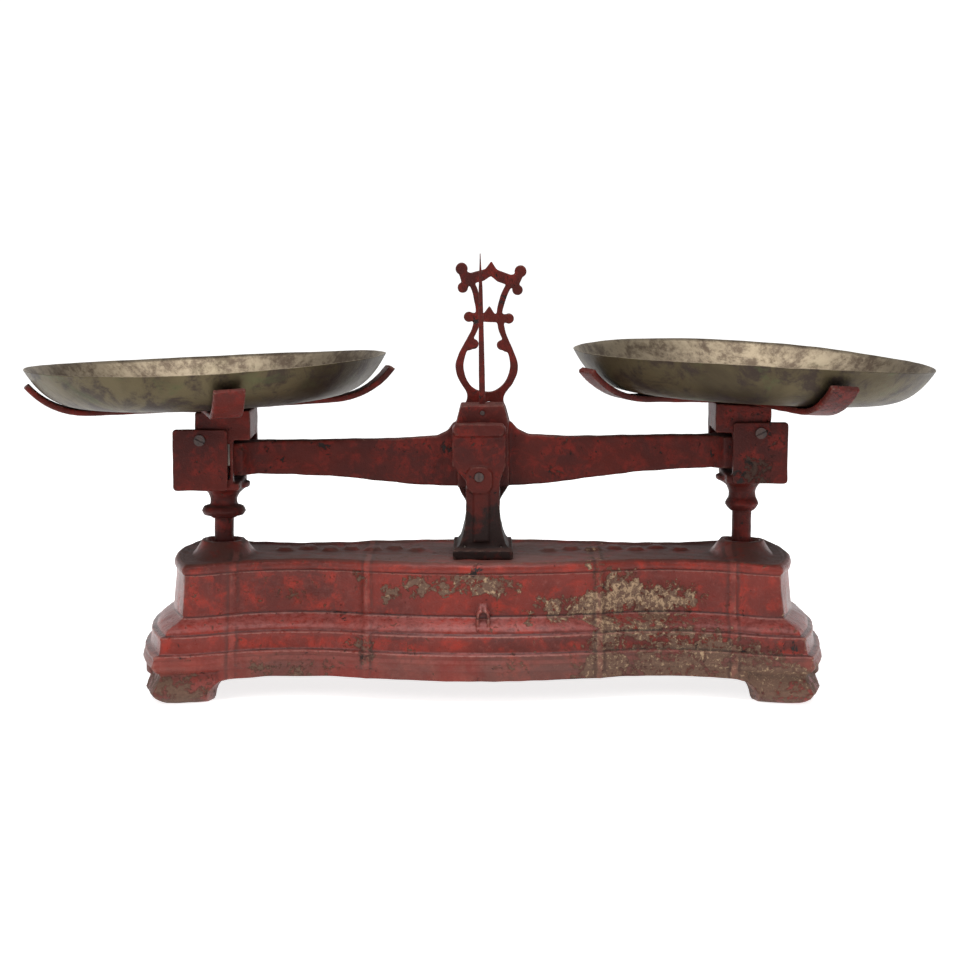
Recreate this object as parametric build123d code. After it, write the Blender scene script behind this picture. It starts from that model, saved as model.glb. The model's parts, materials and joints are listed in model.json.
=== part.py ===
from build123d import *
import os
from math import atan2, cos, radians, sin

# Counter balance with two pans, drawn in millimetres.
# x runs along the beam, y to the back, z up; the origin is on the floor under the centre.

# ---- driving sizes of the mechanism
arm_length = 171.0
top_height = 86.0
column_rise = 67.5
knife_height = top_height + column_rise
link_height = 40.0
rest_tilt = 0.8
fit_gap = 0.1
pan_gap = 0.2

# ---- base casting
base_wall = 5.0
half_depth = 54.0
end_margin = 30.5
half_length = arm_length + end_margin
centre_bay = 75.0
outer_bay = half_length - 40.5
corner_reach = half_length - 11.5
foot_gap_height = 14.5
foot_gap_front = outer_bay + 14.5
foot_gap_side = 50.0
stem_radius = 6.4
stem_hole_gap = 5.6
stem_hole_radius = stem_radius + stem_hole_gap
boss_height = 9.0
boss_half_depth = half_depth - 12.0
boss_half_length = 21.0
ornament_height = 1.2
plaque_width = 9.5
plaque_reach = 11.0
# each level is (height, distance outside the outline of the top)
foot_levels = [(0.0, 13.0), (2.5, 18.0), (7.5, 21.8), (foot_gap_height, 17.0)]
skirt_levels = [(18.5, 16.8), (21.5, 20.6), (24.5, 21.8), (29.0, 20.2), (31.0, 19.2), (31.8, 16.9), (36.0, 16.2)]
torus_levels = [(41.0, 15.4), (42.6, 15.4), (43.4, 12.9), (46.5, 11.2), (49.0, 8.2), (51.0, 4.4), (52.0, 1.6)]
wall_foot = 53.3
wall_top = top_height - 5.8
wall_levels = [(wall_foot, 2.1), (wall_top, -0.4), (wall_top + 1.0, 1.2), (top_height - 1.4, 1.2)]
base_levels = foot_levels + skirt_levels + torus_levels + wall_levels + [(top_height, 0.0)]
cavity_levels = [(-1.0, 4.0), (12.0, 8.0), (20.0, 12.0), (38.0, 10.0), (46.0, 4.0), (52.0, -3.5)]

# ---- column
cheek_gap = 30.0
cheek_thick = 9.0
front_head_width = 35.0
rear_head_width = 38.0
head_top = knife_height + 20.5
head_shift = -2.5
rear_head_foot = knife_height - 37.5
rear_head_shoulder = knife_height - 20.5
post_width = 22.0
column_foot_width = 39.0
column_foot_step = 6.0
yoke_height = knife_height - 31.5
head_screw_radius = 3.0
head_screw_height = knife_height - 14.0

# ---- knives and bearings
tip_radius = 0.5
knife_depth = 10.0
knife_width = 10.0
bearing_width = 14.0
bearing_seat = 10.0
bearing_lip = 4.0
pocket_depth = 6.0

# ---- beam
beam_thick = 9.0
beam_top = knife_height + 9.3
beam_end_bottom = knife_height - 12.0
beam_mid_bottom = knife_height - 22.5
block_top = knife_height + 31.5
block_width = 34.0
block_top_width = 28.0
block_clear = 2.0
beam_end_half = 14.0
needle_tip = block_top + 98.5
needle_width = 4.0
needle_thick = 1.6
needle_seat = 10.0

# ---- stirrups
stirrup_gap = 38.0
stirrup_cheek = 8.0
stirrup_top = knife_height + 30.5
stirrup_foot = knife_height - 20.5
stirrup_roof = knife_height + 12.5
stirrup_outer = 15.5
stirrup_inner = 20.5
neck_half = 13.0
neck_top = knife_height - 11.5
shoulder_height = knife_height - 5.5
knob_height = 22.0
shoulder_radius = 17.5
shield_width = 35.5
shield_height = 40.0
shield_offsets = {"left": 12.0, "right": 8.5}
shield_thick = 3.0
shield_top = knife_height + 19.8
shield_screw_drop = 7.0
stem_bottom = link_height + 10.0
stem_top = stirrup_foot - 5.0
collar_radii = {"left": 14.5, "right": 11.2}

# ---- pan carriers and pans
carrier_offsets = {"left": 6.5, "right": 4.5}
pan_offsets = {"left": 3.0, "right": 0.5}
carrier_leans = {"left": 2.4, "right": 3.1}
carrier_pitches = {"left": 1.4, "right": 0.0}
carrier_screw_depth = 8.0
carrier_turns = {"left": 11.5, "right": 22.0}
strap_width = 20.0
strap_thick = 4.0
claw_reach = 121.0
claw_height = 19.0
claw_run = 40.0
hub_radius = 26.0
pan_radius = 118.0
pan_floor_radius = 60.0
pan_depth = 25.5
pan_curve = 4.0
pan_sheet = 1.6

# ---- lower link and its fittings
link_thick = 6.0
link_height_half = 6.0
link_hub_radius = 10.0
link_hub_half = 8.0
link_eye_radius = 8.0
centre_pin_radius = 4.0
end_pin_radius = 3.0
end_pin_gap = 0.3
clevis_depth = 24.0
clevis_slot = 8.0
clevis_bottom = link_height - 9.0
clevis_slot_top = link_height + 12.0
clevis_top = link_height + 20.0
clevis_wall = 2.6
clevis_width = 2 * (stem_radius + clevis_wall)
bracket_cheek = 5.0
bracket_width = 48.0
bracket_thick = 5.0
screw_radius = 2.5
screw_head = (screw_radius + 2.0, 3.5)
column_screw_grip = 9.0
lyre_screw_spots = [(sx * 9.0, knife_height + 7.5) for sx in (-1, 1)]

# ---- index frame
lyre_thick = 4.5
lyre_lean = 2.5
lyre_shift = 1.5
lyre_waist_height = knife_height + 28.5

column_half = cheek_gap / 2 + cheek_thick
column_foot_depth = 2 * column_half + 14.0
column_screw_spots = [(sx * 12.0, sy * (column_half - 3.0)) for sx in (-1, 1) for sy in (-1, 1)]
bracket_depth = 2 * column_half + 10.0
stirrup_back = stirrup_gap / 2 + stirrup_cheek
end_drop = arm_length * sin(radians(rest_tilt))
end_reach = arm_length * cos(radians(rest_tilt))


def slab_xz(outline, front, back):
    """Extrude an outline drawn in x and z from y = front to y = back."""
    return Pos(0, front, 0) * extrude(Plane.XZ * outline, back - front, dir=(0, 1, 0))


def shape_from(points):
    """A face inside straight runs through the points."""
    return make_face(Polyline(*points, close=True))


def both_sides(points):
    """The right half of an outline, given bottom to top, joined to its mirror image."""
    return points + [(-x, z) for x, z in reversed(points)]


def rod_y(radius, front, back, x=0.0, z=0.0):
    """A round rod along y."""
    return Pos(x, front, z) * extrude(Plane.XZ * Circle(radius), back - front, dir=(0, 1, 0))


def rod_z(radius, low, high, x=0.0, y=0.0):
    """A round rod along z."""
    return Pos(x, y, low) * extrude(Circle(radius), high - low)


def save(shape, node):
    export_step(shape, "parts/" + node + ".step")


# ---------------------------------------------------------------- base casting
def base_ring(height, out):
    """The outline of the casting at a height, moved out of the top outline by a distance."""
    bay = (centre_bay, half_depth - 10.0 + out)
    waist = (centre_bay + 37.0, half_depth - 18.0 + out)
    outer = (outer_bay + 0.2 * out, half_depth - 8.0 + out)
    lobe = (outer_bay + 16.0 + 0.5 * out, half_depth + 1.6 + out)
    corner = (corner_reach + 0.9 * out, half_depth + 4.5 + out)
    end = (half_length + out, 0.0)
    edges = []
    for sy in (-1, 1):
        middle = [(-bay[0], sy * bay[1]), (0, sy * (half_depth + out)), (bay[0], sy * bay[1])]
        edges.append(ThreePointArc(*middle))
        for sx in (-1, 1):
            run = [(sx * p[0], sy * p[1]) for p in (bay, waist, outer)]
            edges.append(Spline(*run))
            curve = [(sx * p[0], sy * p[1]) for p in (outer, lobe, corner)]
            edges.append(ThreePointArc(*curve))
    for sx in (-1, 1):
        bow = [(sx * corner[0], -corner[1]), (sx * end[0], 0), (sx * corner[0], corner[1])]
        edges.append(ThreePointArc(*bow))
    return Pos(0, 0, height) * make_face(Curve() + edges)


def stacked(levels):
    """Straight-sided lofts between neighbouring levels."""
    rings = [base_ring(height, out) for height, out in levels]
    return loft(rings, ruled=True)


def foot_gap(span):
    """Opening between two feet with an ogee edge at each end."""
    edge = [(span, -1.0), (span, 0.0), (span - 1.6, 5.0), (span - 4.0, 9.8)]
    edge += [(span - 7.3, foot_gap_height - 1.5), (span - 13.0, foot_gap_height)]
    return shape_from(both_sides(edge))


def base_casting():
    outer = stacked(base_levels)
    cavity = stacked(cavity_levels + [(top_height - base_wall, -base_wall)])
    gap_x = slab_xz(foot_gap(foot_gap_front), -2 * half_depth, 2 * half_depth)
    gap_y = Rot(0, 0, 90) * slab_xz(foot_gap(foot_gap_side), -half_length - 40, half_length + 40)
    body = outer - cavity - gap_x - gap_y
    for sx in (-1, 1):
        low = Pos(sx * arm_length, 0, top_height - 1.0) * Ellipse(boss_half_length, boss_half_depth)
        high = Pos(sx * arm_length, 0, top_height + boss_height) * Circle(stem_hole_radius + 2.5)
        body += loft([low, high])
        body -= rod_z(stem_hole_radius, top_height - 12.0, top_height + 12.0, sx * arm_length)
    for sx in (-1, 1):
        for i in range(7):
            x = sx * (44.0 + 14.5 * i)
            y = 12.0 + 6.0 * (i % 2)
            mark = RectangleRounded(9.0, 13.0, 4.0)
            body += Pos(x, y, top_height) * extrude(mark, ornament_height)
    for x, y in column_screw_spots:
        body -= rod_z(screw_radius, top_height - 12.0, top_height + 1.0, x, y)
    for sx in (-1, 1):
        for sy in (-1, 1):
            for x, y in ((centre_bay, half_depth - 9.4), (outer_bay, half_depth - 7.4)):
                body += rod_z(1.9, wall_levels[0][0], wall_levels[1][0], sx * x, sy * y)
    arch = Pos(0, wall_foot - 3.8) * Rectangle(plaque_width, 9.0)
    arch += Pos(0, wall_foot + 0.7) * Circle(plaque_width / 2)
    body += slab_xz(arch, -half_depth - plaque_reach, -half_depth + 4.0)
    return body


# ---------------------------------------------------------------- knives and bearings
def knife_section(up):
    """Wedge with a rounded edge on the origin; the body lies above it or, with up, below it."""
    s = -1 if up else 1
    half = knife_width / 2
    wedge = [(tip_radius, 0.2 * s), (half, s * (knife_depth - 3)), (half, s * knife_depth)]
    wedge += [(-x, z) for x, z in reversed(wedge)]
    return shape_from(wedge) + Circle(tip_radius)


def bearing_section(up):
    """Steel block with a groove that fits the knife's edge; up means the groove opens downwards."""
    s = -1 if up else 1
    half = bearing_width / 2
    block = both_sides([(half, -s * bearing_seat), (half, s * bearing_lip)])
    groove_radius = tip_radius + fit_gap
    mouth = bearing_lip + 1.0
    groove = [(groove_radius, 0.2 * s), (mouth, s * mouth), (-mouth, s * mouth), (-groove_radius, 0.2 * s)]
    return shape_from(block) - shape_from(groove) - Circle(groove_radius)


def pocket_section(up):
    """Opening that takes the bearing and leaves the knife room to rock."""
    s = -1 if up else 1
    low = -s * bearing_seat
    high = s * (knife_depth + 3.0)
    return Pos(0, (low + high) / 2) * Rectangle(bearing_width, abs(high - low))


# ---------------------------------------------------------------- column
def column():
    wide = column_foot_width
    deep = column_foot_depth
    flare_foot = top_height + column_foot_step
    body = Pos(0, 0, top_height) * extrude(Rectangle(wide, deep), column_foot_step)
    levels = [(flare_foot, wide - 4.0), (flare_foot + 3, 30.0), (flare_foot + 8, 26.5)]
    levels += [(flare_foot + 14, 24.0), (flare_foot + 21, post_width)]
    rings = [Pos(0, 0, z) * Rectangle(w, 2 * column_half) for z, w in levels]
    body += loft(rings, ruled=True)
    post_foot = levels[-1][0]
    body += Pos(0, 0, post_foot) * extrude(Rectangle(post_width, 2 * column_half), yoke_height - post_foot)
    half = front_head_width / 2
    left = half - head_shift
    right = half + head_shift
    shoulder = head_screw_height + 4
    front = [(post_width / 2, post_foot), (post_width / 2, head_screw_height - 3), (right, shoulder + 3)]
    front += [(right, head_top - 3), (right - 2, head_top), (2 - left, head_top), (-left, head_top - 3)]
    front += [(-left, shoulder + 3), (-post_width / 2, head_screw_height - 3), (-post_width / 2, post_foot)]
    body += slab_xz(shape_from(front), -column_half, -cheek_gap / 2)
    half = rear_head_width / 2
    rear = [(post_width / 2 - 1, rear_head_foot), (half, rear_head_shoulder)]
    rear += [(half, head_top - 4), (half - 3, head_top - 2)]
    body += slab_xz(shape_from(both_sides(rear)), cheek_gap / 2, column_half)
    lip = Pos(head_shift, head_top - 4) * RectangleRounded(front_head_width - 2, 8, 3)
    body += slab_xz(lip, -column_half - 2.5, -column_half + 1)
    boss = Pos(head_shift, head_screw_height - 2) * RectangleRounded(17.0, 17.0, 6.0)
    body += slab_xz(boss, -column_half - 3, -column_half + 1)
    rib_foot = flare_foot + 5
    rib_top = head_screw_height - 8.5
    rib = Pos(-1.0, (rib_foot + rib_top) / 2) * Rectangle(10, rib_top - rib_foot)
    body += slab_xz(rib, -column_half - 2, -column_half + 1)
    for sy in (-1, 1):
        face = sy * cheek_gap / 2
        ends = sorted((face, face + sy * pocket_depth))
        body -= Pos(0, 0, knife_height) * slab_xz(pocket_section(False), *ends)
    for x, y in column_screw_spots:
        body -= rod_z(screw_radius, top_height - 1, top_height + column_screw_grip, x, y)
    for x, z in lyre_screw_spots:
        body -= rod_y(2.0, column_half - 6, column_half + 1, x, z)
    body -= rod_y(head_screw_radius, -column_half - 4, -column_half + 4, head_shift, head_screw_height)
    return body


def head_screw():
    shank = rod_y(head_screw_radius, -column_half - 3.6, -column_half + 4, head_shift, head_screw_height)
    slot = Pos(head_shift, head_screw_height) * Rectangle(1.0, 8.0)
    return shank - slab_xz(slot, -column_half - 4, -column_half - 2.8)


def column_bearing(sy):
    face = sy * cheek_gap / 2
    ends = sorted((face, face + sy * pocket_depth))
    return Pos(0, 0, knife_height) * slab_xz(bearing_section(False), *ends)


def column_screws():
    radius, height = screw_head
    seat = top_height - base_wall - bracket_thick
    screws = []
    for x, y in column_screw_spots:
        screw = rod_z(screw_radius, seat, top_height + column_screw_grip, x, y)
        screw += rod_z(radius, seat - height, seat, x, y)
        screws.append(screw - Pos(x, y, seat - height) * Box(2 * radius + 1, 1.0, 2.4))
    return Compound(screws)


# ---------------------------------------------------------------- index frame
def lyre_outline():
    """The openwork frame, with its own origin at the waist."""
    vase = [(17.0, -28.0), (17.5, -12.0), (13.6, 0.0), (12.4, 6.0), (16.5, 13.0), (20.8, 25.0)]
    vase += [(17.2, 37.0), (11.2, 50.0), (9.8, 58.0)]
    side = Spline(*vase[2:])
    mirrored = Spline(*[(-x, v) for x, v in reversed(vase[2:])])
    foot = Polyline(*both_sides(vase[:3][::-1]))
    cap = Line(vase[-1], (-vase[-1][0], vase[-1][1]))
    frame = make_face(Curve() + [side, cap, mirrored, foot])
    inner = [(0.0, 8.5), (8.5, 11.0), (15.5, 24.8), (12.8, 37.0), (6.8, 50.0), (5.6, 55.0)]
    left = Spline(*[(-x, v) for x, v in reversed(inner)])
    right = Spline(*inner)
    top = Line(inner[-1], (-inner[-1][0], inner[-1][1]))
    frame -= make_face(Curve() + [left, right, top])
    for sx in (-1, 1):
        frame += Pos(sx * 9.4, 40.0) * Circle(3.4)
        frame += Pos(sx * 12.5, 39.0) * Circle(3.4)
        frame += Pos(sx * 13.3, 57.8) * Circle(3.4)
        arm = [(9.8, 57.0), (8.9, 62.0), (9.9, 67.5), (12.5, 76.0), (16.5, 82.0)]
        back = [(11.4, 82.0), (8.3, 76.0), (5.8, 67.5), (5.0, 62.0), (5.5, 57.0)]
        arm = [(sx * x, v) for x, v in arm]
        back = [(sx * x, v) for x, v in back]
        edges = [Spline(*arm), Line(arm[-1], back[0]), Spline(*back), Line(back[-1], arm[0])]
        frame += make_face(Curve() + edges)
        frame += Pos(sx * 18.2, 77.0) * Circle(3.5)
        frame += Pos(sx * 19.6, 89.5) * Circle(4.0)
        wing = [(0, 95.5), (4.0, 90.0), (13.5, 86.8), (17.0, 88.0), (21.5, 87.0)]
        wing += [(18.5, 79.0), (11.4, 80.3), (4.5, 82.0), (0, 85.4)]
        frame += shape_from([(sx * x, v) for x, v in wing])
    frame += Pos(0, 57.8) * Rectangle(26.6, 5.6)
    frame += shape_from([(-4, 60.0), (0, 65.8), (4, 60.0)])
    frame -= Pos(2.5, -3.0) * Circle(5.0)
    return frame


def lyre():
    leaned = Pos(lyre_shift, lyre_waist_height) * (Rot(0, 0, -lyre_lean) * lyre_outline())
    body = slab_xz(leaned, column_half, column_half + lyre_thick)
    for x, z in lyre_screw_spots:
        body -= rod_y(2.0, column_half - 1, column_half + lyre_thick + 1, x, z)
    return body


def lyre_screws():
    back = column_half + lyre_thick
    screws = []
    for x, z in lyre_screw_spots:
        screw = rod_y(2.0, column_half - 6, back, x, z) + rod_y(4.0, back, back + 2.5, x, z)
        screws.append(screw - slab_xz(Pos(x, z) * Rectangle(9.0, 1.0), back + 1.3, back + 3))
    return Compound(screws)


# ---------------------------------------------------------------- beam
def on_beam(shape):
    """Tilt a piece drawn on the level beam to where the beam rests."""
    turn = Pos(0, 0, knife_height) * Rot(0, -rest_tilt, 0) * Pos(0, 0, -knife_height)
    return turn * shape


def beam():
    end = arm_length + beam_end_half
    start = arm_length - beam_end_half
    lower = [(end, beam_end_bottom), (start, beam_end_bottom), (start - 57.0, beam_end_bottom - 2.5)]
    lower += [(45.0, beam_mid_bottom + 1.5), (24.0, beam_mid_bottom)]
    upper = [(19.0, beam_top + 10), (23.0, beam_top + 5), (30.0, beam_top + 1.5)]
    upper += [(60.0, beam_top), (end, beam_top)]
    outline = [(-x, z) for x, z in lower] + lower[::-1] + upper[::-1]
    outline += [(-x, z) for x, z in upper]
    plate = shape_from(outline)
    body = slab_xz(plate, -beam_thick / 2, beam_thick / 2)
    half = cheek_gap / 2 - block_clear
    block = [(block_width / 2, beam_mid_bottom), (block_width / 2, head_top)]
    block.append((block_top_width / 2, block_top))
    body += slab_xz(shape_from(both_sides(block)), -half, half)
    deep = stirrup_gap / 2 - block_clear
    for sx in (-1, 1):
        flare = [Line((start - 26, -beam_thick / 2), (start - 26, beam_thick / 2))]
        flare.append(ThreePointArc((start - 26, beam_thick / 2), (start - 8, 8.5), (start, deep)))
        flare.append(Line((start, deep), (end, deep)))
        flare.append(Line((end, deep), (end, -deep)))
        flare.append(Line((end, -deep), (start, -deep)))
        flare.append(ThreePointArc((start, -deep), (start - 8, -8.5), (start - 26, -beam_thick / 2)))
        plan = make_face(Curve() + flare)
        block = Pos(0, 0, beam_end_bottom) * extrude(plan, beam_top - beam_end_bottom)
        body += block if sx > 0 else Rot(0, 0, 180) * block
        body -= Pos(sx * arm_length, 0, knife_height) * slab_xz(knife_section(True), -deep - 1, deep + 1)
    body -= Pos(0, 0, knife_height) * slab_xz(knife_section(False), -half - 1, half + 1)
    slot = extrude(Rectangle(needle_width, needle_thick), needle_seat + 1)
    body -= Pos(0, 0, block_top - needle_seat) * slot
    body -= rod_y(1.5, -half - 1, half + 1, z=block_top - 5)
    return on_beam(body)


def needle():
    low = block_top - needle_seat
    half = needle_width / 2
    outline = [(half, low), (half, block_top + 22), (1.3, needle_tip - 22), (0.25, needle_tip)]
    body = slab_xz(shape_from(both_sides(outline)), -needle_thick / 2, needle_thick / 2)
    body -= rod_y(1.5, -needle_thick, needle_thick, z=block_top - 5)
    return on_beam(body)


def needle_pin():
    half = cheek_gap / 2 - block_clear
    return on_beam(rod_y(1.5, -half, half, z=block_top - 5))


def central_knife():
    reach = cheek_gap / 2 + pocket_depth - 0.5
    return on_beam(Pos(0, 0, knife_height) * slab_xz(knife_section(False), -reach, reach))


def end_knife(sx):
    reach = stirrup_back - 1.0
    return on_beam(Pos(sx * arm_length, 0, knife_height) * slab_xz(knife_section(True), -reach, reach))


# ---------------------------------------------------------------- pan supports
# A support is drawn for the right side with its stem on the z axis: +x points away from the column.
def lean_at_top(shape, side):
    """Tip a piece outwards and backwards about the top of the stirrup."""
    return Pos(0, 0, stirrup_top) * Rot(-carrier_pitches[side], carrier_leans[side], 0) * shape


def stirrup(side):
    inner = stirrup_gap / 2
    collar = collar_radii[side]
    top = stirrup_top
    outer = shield_offsets[side] + shield_width / 2 - 1
    edge = bearing_width / 2 + 2
    body = Pos(0, 0, stirrup_foot) * extrude(Rectangle(2 * neck_half, 2 * stirrup_back), 5)
    block = Rectangle(stirrup_outer + stirrup_inner, top + 4 - stirrup_roof)
    block = Pos((stirrup_outer - stirrup_inner) / 2, (top + 4 + stirrup_roof) / 2) * block
    body += slab_xz(block, -stirrup_back, stirrup_back)
    rear = [(neck_half, stirrup_foot), (neck_half, neck_top), (stirrup_outer, shoulder_height)]
    rear += [(stirrup_outer, stirrup_roof), (-stirrup_inner, stirrup_roof), (-stirrup_inner, shoulder_height)]
    rear += [(-neck_half, neck_top), (-neck_half, stirrup_foot)]
    body += slab_xz(shape_from(rear), inner, stirrup_back)
    front = [(neck_half, stirrup_foot), (outer, neck_top), (outer, stirrup_roof)]
    front += [(-edge, stirrup_roof), (-edge, stirrup_foot)]
    body += slab_xz(shape_from(front), -stirrup_back, -inner)
    for low, high in ((-stirrup_back, -inner), (inner, stirrup_back)):
        body -= Pos(0, 0, knife_height) * slab_xz(pocket_section(True), low, high)
    knob = [(0, 0), (stem_radius + 1.5, 1), (stem_radius + 2.5, 2.4), (collar - 1.5, 3), (collar, 5.8)]
    knob += [(collar - 1.5, 8.8), (stem_radius + 2.5, 9.6), (stem_radius + 2.3, 14)]
    knob += [(stem_radius + 4.1, 18), (shoulder_radius - 3.0, knob_height - 1)]
    knob += [(shoulder_radius, knob_height), (shoulder_radius, knob_height + 3), (0, knob_height + 3)]
    turned = revolve(Plane.XZ * shape_from(knob), Axis.Z)
    body += Pos(0, 0, stirrup_foot - knob_height) * turned
    body -= rod_z(stem_radius, stirrup_foot - knob_height - 3, stem_top)
    body -= lean_at_top(rod_z(screw_radius, -carrier_screw_depth, 5), side)
    body -= rod_y(2.0, -stirrup_back - 1, -inner - 1, shield_offsets[side], shield_top - shield_screw_drop)
    above = Pos(0, 0, 15) * Box(120, 120, 30)
    return body - lean_at_top(above, side)


def stem():
    return rod_z(stem_radius, stem_bottom, stem_top)


def shield(side):
    low = shield_top - shield_height
    x = shield_offsets[side]
    plate = Pos(x, (low + shield_top) / 2) * RectangleRounded(shield_width, shield_height, 2.5)
    body = slab_xz(plate, -stirrup_back - shield_thick, -stirrup_back)
    return body - rod_y(2.0, -stirrup_back - 4, -stirrup_back + 1, x, shield_top - shield_screw_drop)


def shield_screw(side):
    front = -stirrup_back - shield_thick
    x = shield_offsets[side]
    z = shield_top - shield_screw_drop
    body = rod_y(2.0, front, -stirrup_gap / 2 - 1, x, z) + rod_y(3.6, front - 2, front, x, z)
    slot = Pos(x, z) * Rot(0, 0, 25) * Rectangle(9, 1)
    return body - slab_xz(slot, front - 3, front - 1)


def stirrup_bearing(sy):
    ends = sorted((sy * stirrup_gap / 2, sy * stirrup_back))
    return Pos(0, 0, knife_height) * slab_xz(bearing_section(True), *ends)


def claw_strap():
    """A strap from the hub outwards that sweeps up into a claw, along an arc."""
    start = claw_reach - claw_run
    bend = 2 * atan2(claw_height, claw_run)
    radius = claw_run / sin(bend)
    under = [(start + radius * sin(a * bend), radius * (1 - cos(a * bend))) for a in (0, 0.5, 1)]
    inner = radius - strap_thick
    over = [(start + inner * sin(a * bend), radius - inner * cos(a * bend)) for a in (1, 0.5, 0)]
    edges = [Line((0, 0), under[0]), ThreePointArc(*under), Line(under[2], over[0]), ThreePointArc(*over)]
    edges += [Line(over[2], (0, strap_thick)), Line((0, strap_thick), (0, 0))]
    return slab_xz(make_face(Curve() + edges), -strap_width / 2, strap_width / 2)


def carrier(side):
    turn = carrier_turns[side] * (1 if side == "right" else -1)
    body = rod_z(hub_radius, 0, strap_thick)
    strap = claw_strap()
    for i in range(4):
        body += Rot(0, 0, turn + 90 * i) * strap
    body = Pos(carrier_offsets[side], 0, 0) * body
    body -= rod_z(screw_radius, -1, strap_thick + 1)
    body -= rod_z(screw_head[0], strap_thick - 2.5, strap_thick + 1)
    return lean_at_top(body, side)


def carrier_screw(side):
    shank = rod_z(screw_radius, -carrier_screw_depth, strap_thick - 2.5)
    head = rod_z(screw_head[0], strap_thick - 2.5, strap_thick - 0.3)
    return lean_at_top(shank + head - Pos(0, 0, strap_thick - 0.3) * Box(10, 1, 1.6), side)


def pan(side):
    floor = pan_floor_radius
    wall = pan_radius - floor
    outer = []
    inner = []
    for s in (0, 0.3, 0.55, 0.75, 0.88, 1):
        r = floor + s * wall
        h = pan_depth * s**pan_curve
        slope = atan2(pan_curve * pan_depth * s ** (pan_curve - 1), wall)
        outer.append((r, h))
        inner.append((r - pan_sheet * sin(slope), h + pan_sheet * cos(slope)))
    edges = [Line((0, 0), outer[0]), Spline(*outer), Line(outer[-1], inner[-1]), Spline(*inner[::-1])]
    edges += [Line(inner[0], (0, pan_sheet)), Line((0, pan_sheet), (0, 0))]
    dish = revolve(Plane.XZ * make_face(Curve() + edges), Axis.Z)
    offset = carrier_offsets[side] + pan_offsets[side]
    return lean_at_top(Pos(offset, 0, strap_thick + pan_gap) * dish, side)


def clevis():
    half = clevis_width / 2
    outline = [(half, clevis_bottom + 5), (half, clevis_top), (-half, clevis_top), (-half, clevis_bottom + 5)]
    outline += [(-half + 5, clevis_bottom), (half - 5, clevis_bottom)]
    body = slab_xz(shape_from(outline), -clevis_depth / 2, clevis_depth / 2)
    slot = Pos(0, 0, (clevis_slot_top + clevis_bottom) / 2 - 1)
    body -= slot * Box(clevis_width + 2, clevis_slot, clevis_slot_top - clevis_bottom + 2)
    body -= rod_z(stem_radius, stem_bottom, clevis_top + 1)
    return body - rod_y(end_pin_radius, -clevis_depth, clevis_depth, z=link_height)


def end_pin():
    reach = clevis_depth / 2 + 1.5
    return rod_y(end_pin_radius, -reach, reach, z=link_height)


def lock_nut():
    nut = Pos(0, 0, clevis_top) * extrude(RegularPolygon(stem_radius + 4.1, 6), 6)
    return nut - rod_z(stem_radius, clevis_top - 1, clevis_top + 7)


# ---------------------------------------------------------------- lower link and bracket
def link():
    eye = link_eye_radius
    bar = Pos(0, link_height) * Rectangle(2 * arm_length, 2 * link_height_half)
    body = slab_xz(bar, -link_thick / 2, link_thick / 2)
    body += rod_y(link_hub_radius, -link_hub_half, link_hub_half, z=link_height)
    body -= rod_y(centre_pin_radius + fit_gap / 2, -link_hub_half - 1, link_hub_half + 1, z=link_height)
    for sx in (-1, 1):
        body += rod_y(eye, -link_thick / 2, link_thick / 2, sx * arm_length, link_height)
        body -= rod_y(end_pin_radius + end_pin_gap, -link_thick, link_thick, sx * arm_length, link_height)
    return Pos(0, 0, link_height) * Rot(0, -rest_tilt, 0) * Pos(0, 0, -link_height) * body


def bracket():
    thick = bracket_thick
    roof = top_height - base_wall
    body = Pos(0, 0, roof - thick) * extrude(Rectangle(bracket_width, bracket_depth), thick)
    cheek_low = link_hub_half + 1.0
    cheek = [(9, link_height - 6), (16, roof - thick)]
    for sy in (-1, 1):
        ends = sorted((sy * cheek_low, sy * (cheek_low + bracket_cheek)))
        body += slab_xz(shape_from(both_sides(cheek)) + Pos(0, link_height) * Circle(link_hub_radius), *ends)
    for x, y in column_screw_spots:
        body -= rod_z(screw_radius, roof - thick - 1, roof + 1, x, y)
    return body - rod_y(centre_pin_radius, -30, 30, z=link_height)


def centre_pin():
    reach = link_hub_half + bracket_cheek + 3.0
    return rod_y(centre_pin_radius, -reach, reach, z=link_height)


# ---------------------------------------------------------------- everything in its place
def place_support(shape, side):
    """Put a support piece at its end of the resting beam; the left one is turned round."""
    if side == "right":
        return Pos(end_reach, 0, end_drop) * shape
    return Pos(-end_reach, 0, -end_drop) * mirror(shape, about=Plane.YZ)


os.makedirs("parts", exist_ok=True)
save(base_casting(), "base_casting")
save(column(), "column")
save(column_screws(), "column_screws")
save(head_screw(), "head_screw")
save(column_bearing(-1), "column_bearing_front")
save(column_bearing(1), "column_bearing_rear")
save(lyre(), "lyre")
save(lyre_screws(), "lyre_screws")
save(bracket(), "link_bracket")
save(centre_pin(), "link_centre_pin")
save(beam(), "beam")
save(needle(), "needle")
save(needle_pin(), "needle_pin")
save(central_knife(), "central_knife")
save(end_knife(-1), "left_knife")
save(end_knife(1), "right_knife")
save(link(), "lower_link")
for side in ("left", "right"):
    save(place_support(stirrup(side), side), side + "_stirrup")
    save(place_support(stem(), side), side + "_stem")
    save(place_support(shield(side), side), side + "_shield")
    save(place_support(shield_screw(side), side), side + "_shield_screw")
    save(place_support(stirrup_bearing(-1), side), side + "_bearing_front")
    save(place_support(stirrup_bearing(1), side), side + "_bearing_rear")
    save(place_support(carrier(side), side), side + "_pan_carrier")
    save(place_support(carrier_screw(side), side), side + "_carrier_screw")
    save(place_support(clevis(), side), side + "_clevis")
    save(place_support(end_pin(), side), side + "_end_pin")
    save(place_support(lock_nut(), side), side + "_lock_nut")
    save(place_support(pan(side), side), side + "_pan")
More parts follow.
